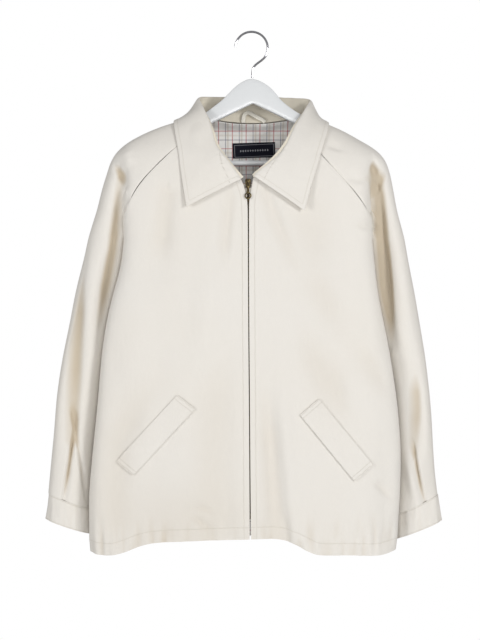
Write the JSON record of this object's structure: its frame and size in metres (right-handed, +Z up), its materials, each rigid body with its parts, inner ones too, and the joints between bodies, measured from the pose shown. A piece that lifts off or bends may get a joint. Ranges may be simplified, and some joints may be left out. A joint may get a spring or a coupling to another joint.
{
  "type": "harrington jacket on a hanger",
  "caption": "Pale zip-front jacket with raglan sleeves, pointed collar, slanted welt pockets and plain cuffs, hung open and empty on a flat wooden hanger with a wire hook.",
  "frame": {"origin": "inner top of the hanger's hook, where it rests on a rod or peg", "axes": "+Z up, +X to the viewer's right, which is the wearer's left; the front with the zip faces -Y"},
  "size_m": [0.7185, 0.1318, 0.9386],
  "materials": {
    "cotton twill": "matt twill weave, pale beige",
    "checked lining": "woven check of fine red and navy lines on cream",
    "woven label": "dark woven label, bare",
    "zip tape": "woven tape",
    "antique brass": "darkened, satin",
    "white lacquered wood": "white lacquer, semi-gloss",
    "chromed wire": "polished"
  },
  "bodies": {
    "jacket": {"back": "cotton twill", "collar_leaf": "cotton twill", "collar_stand": "cotton twill", "cuff_left": "cotton twill", "cuff_right": "cotton twill", "front_left": "cotton twill", "front_right": "cotton twill", "hanger_arms": "white lacquered wood", "hanger_bar": "white lacquered wood", "hanger_hook": "chromed wire", "hanging_loop": "cotton twill", "lining_back": "checked lining", "pocket_welt_left": "cotton twill", "pocket_welt_right": "cotton twill", "sleeve_left": "cotton twill", "sleeve_right": "cotton twill", "woven_label": "woven label", "zip_chain": "antique brass", "zip_slider": "antique brass", "zip_tape_left": "zip tape", "zip_tape_right": "zip tape"},
    "pull_tab": {"zip_pull": "antique brass"}
  },
  "joints": [
    {"name": "pull_tab_swing", "type": "hinge", "parent": "jacket", "child": "pull_tab", "pos_m": [-0.0066, -0.05644, -0.27475], "axis": [-1, 0, 0], "range_deg": [0, 150]}
  ]
}
